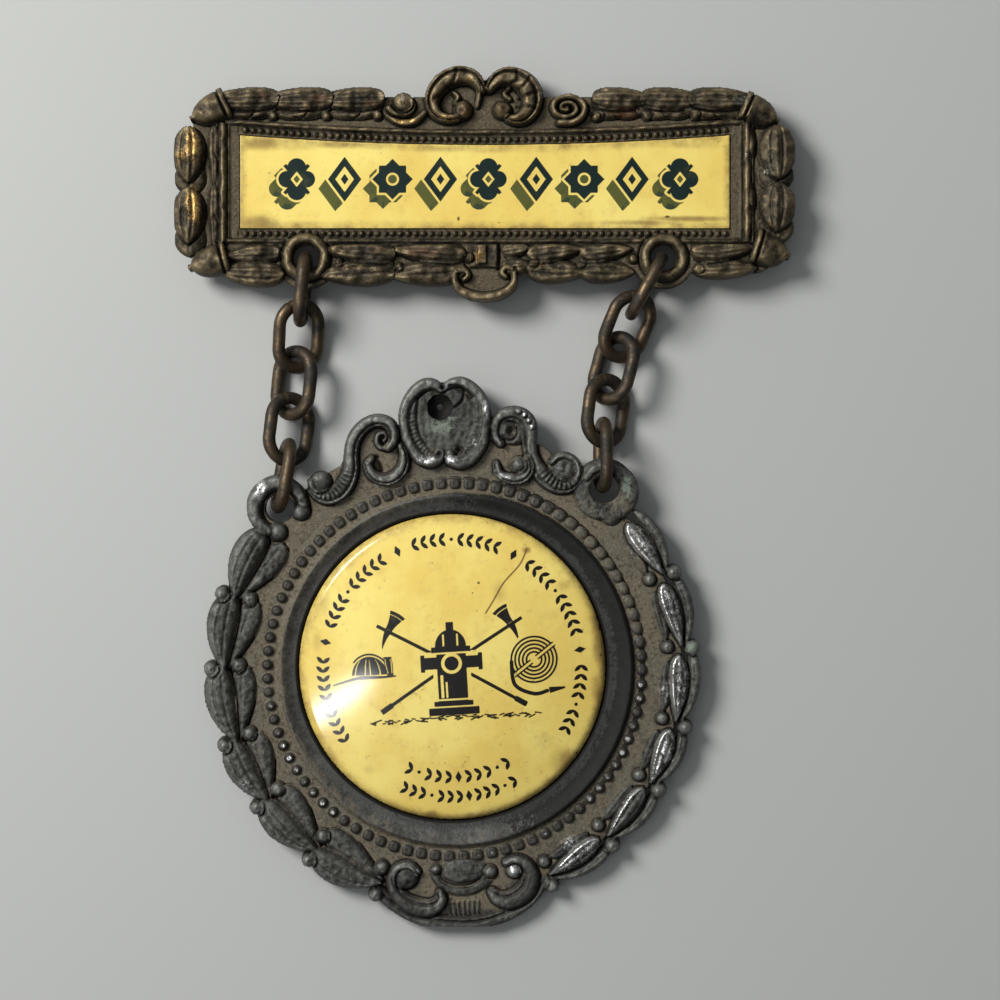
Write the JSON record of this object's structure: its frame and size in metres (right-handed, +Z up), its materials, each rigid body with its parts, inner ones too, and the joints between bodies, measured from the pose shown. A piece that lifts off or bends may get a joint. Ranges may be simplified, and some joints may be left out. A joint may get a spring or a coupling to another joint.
{
  "type": "firefighter badge",
  "caption": "Convention badge: a scrolled cast bar with a name slip, short wire chains and a round wreathed medallion with a domed printed button.",
  "frame": {"origin": "on the surface that the badge lies on, at the middle of its length and width", "axes": "+Y up the badge, from the medallion to the bar, +X to the right as it is read, and +Z up out of its face"},
  "size_m": [0.0642, 0.0893, 0.0058],
  "materials": {
    "bronze": "dark antique bronze, tarnished, with tan grime in the recesses and brassy worn edges",
    "pewter": "dark grey cast white metal, tarnished, with grime in the field and silver worn highlights",
    "copper": "copper-brown wire, worn smooth",
    "celluloid": "glossy cream yellow celluloid over a printed paper, aged and stained",
    "nickel": "dull nickel plate"
  },
  "bodies": {
    "root": {"bar_frame": "bronze", "name_plate": "celluloid", "clasp_pin": "nickel", "link_left_1": "copper", "link_left_2": "copper", "link_left_3": "copper", "link_left_4": "copper", "link_left_5": "copper", "link_right_1": "copper", "link_right_2": "copper", "link_right_3": "copper", "link_right_4": "copper", "link_right_5": "copper", "medallion_frame": "pewter", "medallion_button": "celluloid"}
  },
  "joints": []
}
